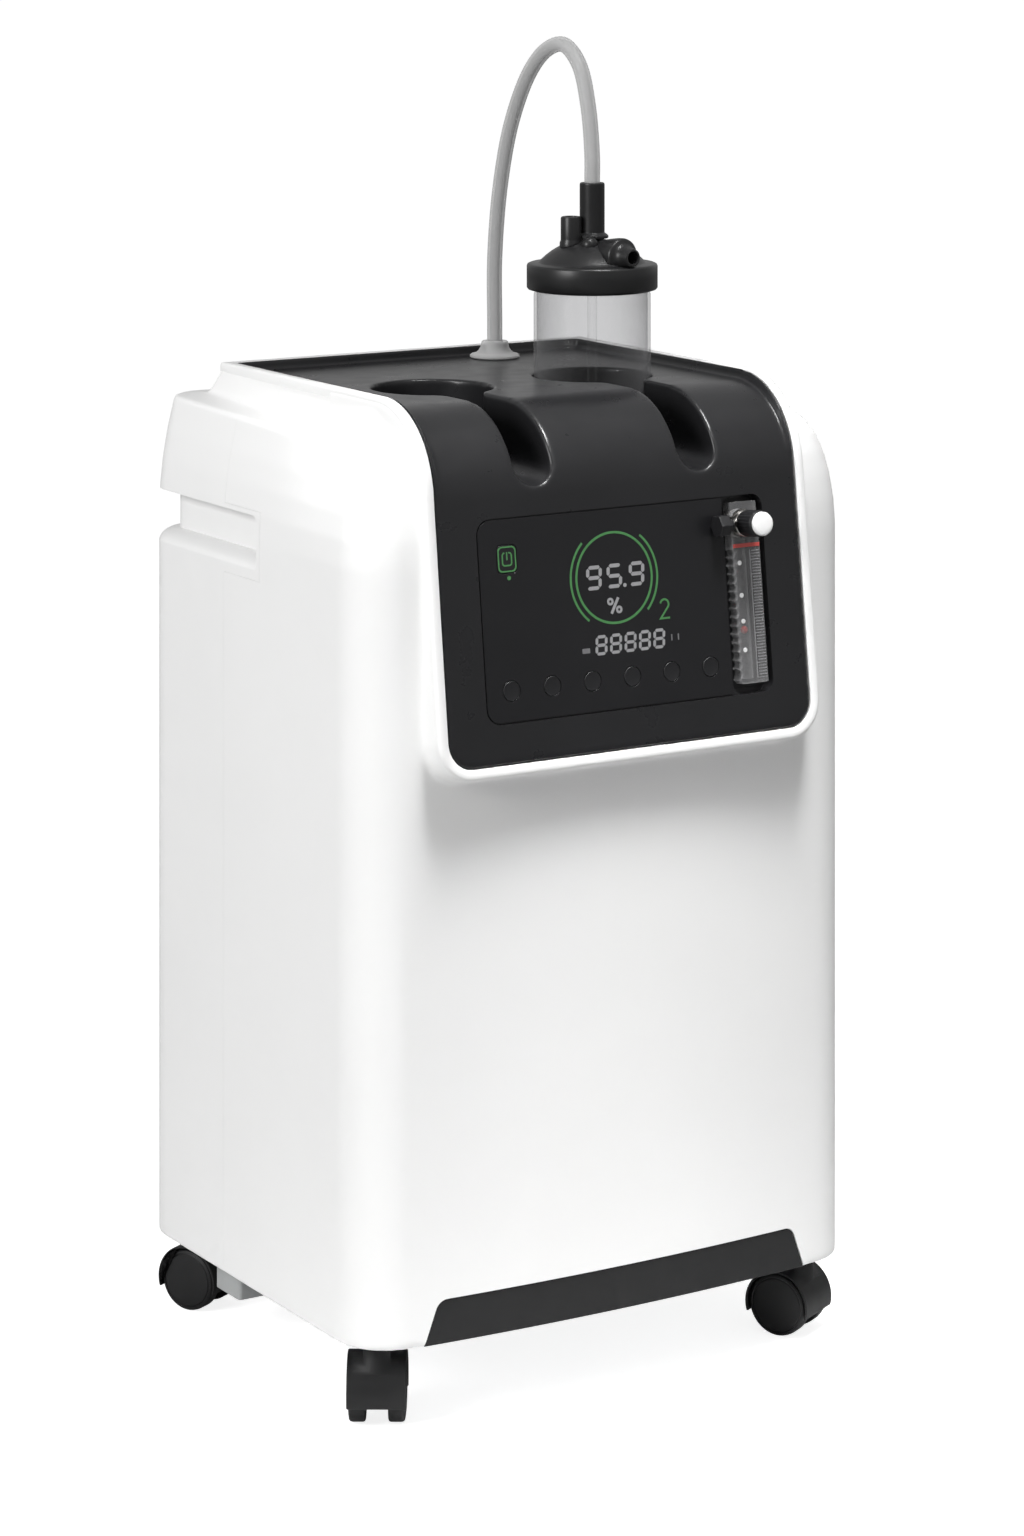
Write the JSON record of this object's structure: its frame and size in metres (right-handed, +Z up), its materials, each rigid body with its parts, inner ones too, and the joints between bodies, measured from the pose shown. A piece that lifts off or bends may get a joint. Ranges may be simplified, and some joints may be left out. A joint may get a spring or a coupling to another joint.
{
  "type": "oxygen concentrator",
  "caption": "Floor-standing oxygen concentrator: white casing on swivel casters, slanted black panel with screen and flowmeter, and a humidifier bottle with a looped hose in the top tray.",
  "frame": {"origin": "on the floor, under the middle of the whole footprint, knob and casters included", "axes": "+Z up, the front with the screen faces -Y, +X to the right of someone facing the front; metres"},
  "size_m": [0.368, 0.338, 0.8406],
  "materials": {
    "casing_white": "fine satin moulding",
    "satin_black": "satin moulding",
    "fascia_black": "soft gloss",
    "screen_black": "polished",
    "key_black": "satin",
    "clear_plastic": "clear moulded",
    "red_plastic": "polished",
    "silicone": "translucent silicone",
    "grey_plastic": "satin",
    "circuit_board": "lacquered",
    "sheet_steel": "galvanised",
    "shaft_steel": "ground",
    "cast_aluminium": "as cast",
    "foam": "open-cell foam",
    "caster_rubber": "hard tread"
  },
  "bodies": {
    "casing": {"front_shell": "casing_white", "rear_shell": "casing_white", "kick_plate": "satin_black", "base_pan": "sheet_steel", "top_fascia": "fascia_black", "display_panel": "screen_black", "control_board": "circuit_board", "flowmeter_tube": "clear_plastic", "flow_valve_body": "clear_plastic", "flow_union_nut": "key_black", "air_filter": "foam", "exhaust_duct": "grey_plastic", "power_inlet": "fascia_black", "compressor_body": "cast_aluminium", "sieve_bed_front": "cast_aluminium", "sieve_bed_rear": "cast_aluminium", "valve_block": "cast_aluminium", "product_tank": "sheet_steel", "intake_silencer": "satin_black", "cooling_fan_frame": "satin_black", "chassis_shelf": "sheet_steel", "power_module": "grey_plastic", "caster_stem_front_left": "shaft_steel", "caster_stem_front_right": "shaft_steel", "caster_stem_rear_left": "shaft_steel", "caster_stem_rear_right": "shaft_steel"},
    "caster_front_left": {"caster_hood_front_left": "satin_black"},
    "wheel_a_front_left": {"caster_wheel_a_front_left": "caster_rubber"},
    "wheel_b_front_left": {"caster_wheel_b_front_left": "caster_rubber"},
    "caster_front_right": {"caster_hood_front_right": "satin_black"},
    "wheel_a_front_right": {"caster_wheel_a_front_right": "caster_rubber"},
    "wheel_b_front_right": {"caster_wheel_b_front_right": "caster_rubber"},
    "caster_rear_left": {"caster_hood_rear_left": "satin_black"},
    "wheel_a_rear_left": {"caster_wheel_a_rear_left": "caster_rubber"},
    "wheel_b_rear_left": {"caster_wheel_b_rear_left": "caster_rubber"},
    "caster_rear_right": {"caster_hood_rear_right": "satin_black"},
    "wheel_a_rear_right": {"caster_wheel_a_rear_right": "caster_rubber"},
    "wheel_b_rear_right": {"caster_wheel_b_rear_right": "caster_rubber"},
    "key_1": {"key_1": "key_black"},
    "key_2": {"key_2": "key_black"},
    "key_3": {"key_3": "key_black"},
    "key_4": {"key_4": "key_black"},
    "key_5": {"key_5": "key_black"},
    "key_6": {"key_6": "key_black"},
    "power_key": {"power_key": "key_black"},
    "flow_control": {"flow_knob": "key_black", "flow_knob_cap": "casing_white"},
    "flow_float": {"flow_float": "red_plastic"},
    "humidifier": {"humidifier_bottle": "clear_plastic", "humidifier_inlet": "fascia_black", "humidifier_diffuser": "grey_plastic", "oxygen_hose": "silicone", "hose_boot": "silicone"},
    "humidifier_lid": {"humidifier_lid": "fascia_black", "humidifier_relief_valve": "fascia_black", "humidifier_outlet": "fascia_black"},
    "filter_door": {"filter_door": "casing_white"},
    "compressor_shaft": {"compressor_shaft": "shaft_steel"},
    "cooling_fan_rotor": {"cooling_fan_rotor": "satin_black"},
    "breaker_button": {"breaker_button": "key_black"}
  },
  "joints": [
    {"name": "caster_front_left_swivel", "type": "hinge", "parent": "casing", "child": "caster_front_left", "pos_m": [-0.1595, -0.11142, 0.04], "axis": [0, 0, 1], "continuous": true},
    {"name": "wheel_a_front_left_spin", "type": "hinge", "parent": "caster_front_left", "child": "wheel_a_front_left", "pos_m": [-0.15473, -0.10379, 0.02], "axis": [-0.848, 0.5299, 0], "continuous": true},
    {"name": "wheel_b_front_left_spin", "type": "hinge", "parent": "caster_front_left", "child": "wheel_b_front_left", "pos_m": [-0.15473, -0.10379, 0.02], "axis": [-0.848, 0.5299, 0], "continuous": true},
    {"name": "caster_front_right_swivel", "type": "hinge", "parent": "casing", "child": "caster_front_right", "pos_m": [0.1595, -0.11142, 0.04], "axis": [0, 0, 1], "continuous": true},
    {"name": "wheel_a_front_right_spin", "type": "hinge", "parent": "caster_front_right", "child": "wheel_a_front_right", "pos_m": [0.15527, -0.10347, 0.02], "axis": [-0.8829, -0.4695, 0], "continuous": true},
    {"name": "wheel_b_front_right_spin", "type": "hinge", "parent": "caster_front_right", "child": "wheel_b_front_right", "pos_m": [0.15527, -0.10347, 0.02], "axis": [-0.8829, -0.4695, 0], "continuous": true},
    {"name": "caster_rear_left_swivel", "type": "hinge", "parent": "casing", "child": "caster_rear_left", "pos_m": [-0.146, 0.13258, 0.04], "axis": [0, 0, 1], "continuous": true},
    {"name": "wheel_a_rear_left_spin", "type": "hinge", "parent": "caster_rear_left", "child": "wheel_a_rear_left", "pos_m": [-0.15022, 0.14053, 0.02], "axis": [-0.8829, -0.4695, 0], "continuous": true},
    {"name": "wheel_b_rear_left_spin", "type": "hinge", "parent": "caster_rear_left", "child": "wheel_b_rear_left", "pos_m": [-0.15022, 0.14053, 0.02], "axis": [-0.8829, -0.4695, 0], "continuous": true},
    {"name": "caster_rear_right_swivel", "type": "hinge", "parent": "casing", "child": "caster_rear_right", "pos_m": [0.146, 0.13258, 0.04], "axis": [0, 0, 1], "continuous": true},
    {"name": "wheel_a_rear_right_spin", "type": "hinge", "parent": "caster_rear_right", "child": "wheel_a_rear_right", "pos_m": [0.14756, 0.14144, 0.02], "axis": [-0.9848, 0.1736, 0], "continuous": true},
    {"name": "wheel_b_rear_right_spin", "type": "hinge", "parent": "caster_rear_right", "child": "wheel_b_rear_right", "pos_m": [0.14756, 0.14144, 0.02], "axis": [-0.9848, 0.1736, 0], "continuous": true},
    {"name": "key_1_press", "type": "slide", "parent": "casing", "child": "key_1", "axis": [0, 0.993, -0.1182], "range_m": [0, 0.0008]},
    {"name": "key_2_press", "type": "slide", "parent": "casing", "child": "key_2", "axis": [0, 0.993, -0.1182], "range_m": [0, 0.0008]},
    {"name": "key_3_press", "type": "slide", "parent": "casing", "child": "key_3", "axis": [0, 0.993, -0.1182], "range_m": [0, 0.0008]},
    {"name": "key_4_press", "type": "slide", "parent": "casing", "child": "key_4", "axis": [0, 0.993, -0.1182], "range_m": [0, 0.0008]},
    {"name": "key_5_press", "type": "slide", "parent": "casing", "child": "key_5", "axis": [0, 0.993, -0.1182], "range_m": [0, 0.0008]},
    {"name": "key_6_press", "type": "slide", "parent": "casing", "child": "key_6", "axis": [0, 0.993, -0.1182], "range_m": [0, 0.0008]},
    {"name": "power_key_press", "type": "slide", "parent": "casing", "child": "power_key", "axis": [0, 0.993, -0.1182], "range_m": [0, 0.0008]},
    {"name": "flow_knob_turn", "type": "hinge", "parent": "casing", "child": "flow_control", "pos_m": [0.0908, -0.14352, 0.53858], "axis": [0, -0.993, 0.1182], "range_deg": [-360, 1080]},
    {"name": "flow_float_rise", "type": "slide", "parent": "casing", "child": "flow_float", "axis": [0, 0.1182, 0.993], "range_m": [-0.026, 0.048]},
    {"name": "humidifier_lift", "type": "slide", "parent": "casing", "child": "humidifier", "axis": [0, 0, 1], "range_m": [0, 0.12]},
    {"name": "lid_turn", "type": "hinge", "parent": "humidifier", "child": "humidifier_lid", "pos_m": [0.0615, -0.01142, 0.69], "axis": [0, 0, 1], "range_deg": [0, 70]},
    {"name": "filter_door_pull", "type": "slide", "parent": "casing", "child": "filter_door", "axis": [0, 1, 0], "range_m": [0, 0.03]},
    {"name": "compressor_shaft_spin", "type": "hinge", "parent": "casing", "child": "compressor_shaft", "pos_m": [0.03, -0.00142, 0.15], "axis": [1, 0, 0], "continuous": true},
    {"name": "cooling_fan_spin", "type": "hinge", "parent": "casing", "child": "cooling_fan_rotor", "pos_m": [-0.03, 0.10158, 0.297], "axis": [0, 0, 1], "continuous": true},
    {"name": "breaker_press", "type": "slide", "parent": "casing", "child": "breaker_button", "axis": [0, -1, 0], "range_m": [0, 0.003]}
  ]
}
